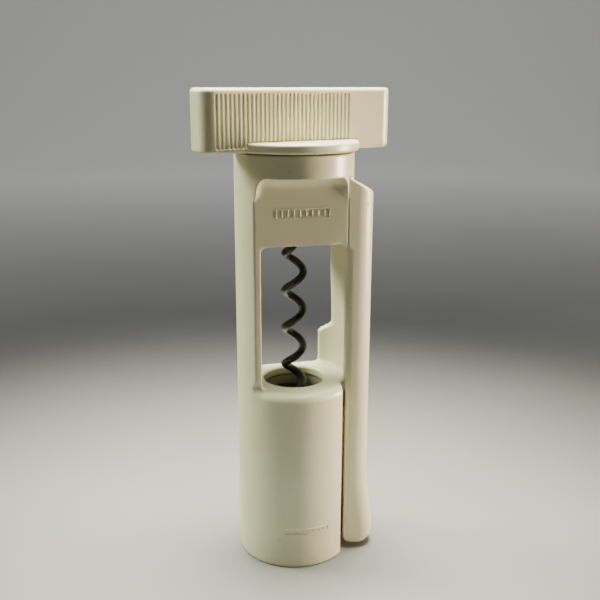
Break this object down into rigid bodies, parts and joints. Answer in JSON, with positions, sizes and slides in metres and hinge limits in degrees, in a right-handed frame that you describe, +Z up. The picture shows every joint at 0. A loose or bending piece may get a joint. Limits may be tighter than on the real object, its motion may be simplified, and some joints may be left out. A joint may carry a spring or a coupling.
{
  "type": "lever corkscrew",
  "caption": "Self-pulling corkscrew: a round bell over the bottle's neck, a coated worm turned by a grooved paddle knob, and a side lever that clamps the neck.",
  "frame": {"origin": "on the body's axis, in the plane of the bell's mouth that stands on the bottle", "axes": "+Z up along the body to the knob, -Y is the front with the window, +X points to the lever"},
  "size_m": [0.0746, 0.0466, 0.1783],
  "materials": {
    "ivory_plastic": "satin moulded ABS, off-white with a faint grain",
    "worm_coating": "black non-stick coating on steel wire, low sheen",
    "black_steel": "blackened steel",
    "steel": "plain zinc-plated steel",
    "bush_plastic": "natural acetal",
    "sleeve_plastic": "moulded polypropylene",
    "jaw_rubber": "soft matte rubber"
  },
  "bodies": {
    "body": {"housing": "ivory_plastic", "bearing_plate": "ivory_plastic", "plate_screws": "steel", "upper_bush": "bush_plastic", "lower_bush": "bush_plastic", "neck_sleeve": "sleeve_plastic", "hinge_pin": "steel", "return_spring": "steel"},
    "screw": {"knob_shell": "ivory_plastic", "knob_base": "ivory_plastic", "knob_screws": "steel", "spindle": "black_steel", "worm": "worm_coating", "worm_pin": "steel", "drive_pin": "steel", "thrust_washer": "steel", "lower_washer": "steel"},
    "lever": {"lever_shell": "ivory_plastic", "jaw": "ivory_plastic", "jaw_pad": "jaw_rubber", "jaw_screws": "steel"}
  },
  "joints": [
    {"name": "knob_turn", "type": "hinge", "parent": "body", "child": "screw", "pos_m": [0, 0, 0.156], "axis": [0, 0, -1], "continuous": true},
    {"name": "lever_squeeze", "type": "hinge", "parent": "body", "child": "lever", "pos_m": [0.0228, 0, 0.138], "axis": [0, 1, 0], "range_deg": [0, 0.6], "stiffness_Nm_per_rad": 8, "springref_deg": -0.57, "deforming": ["return_spring"]}
  ]
}
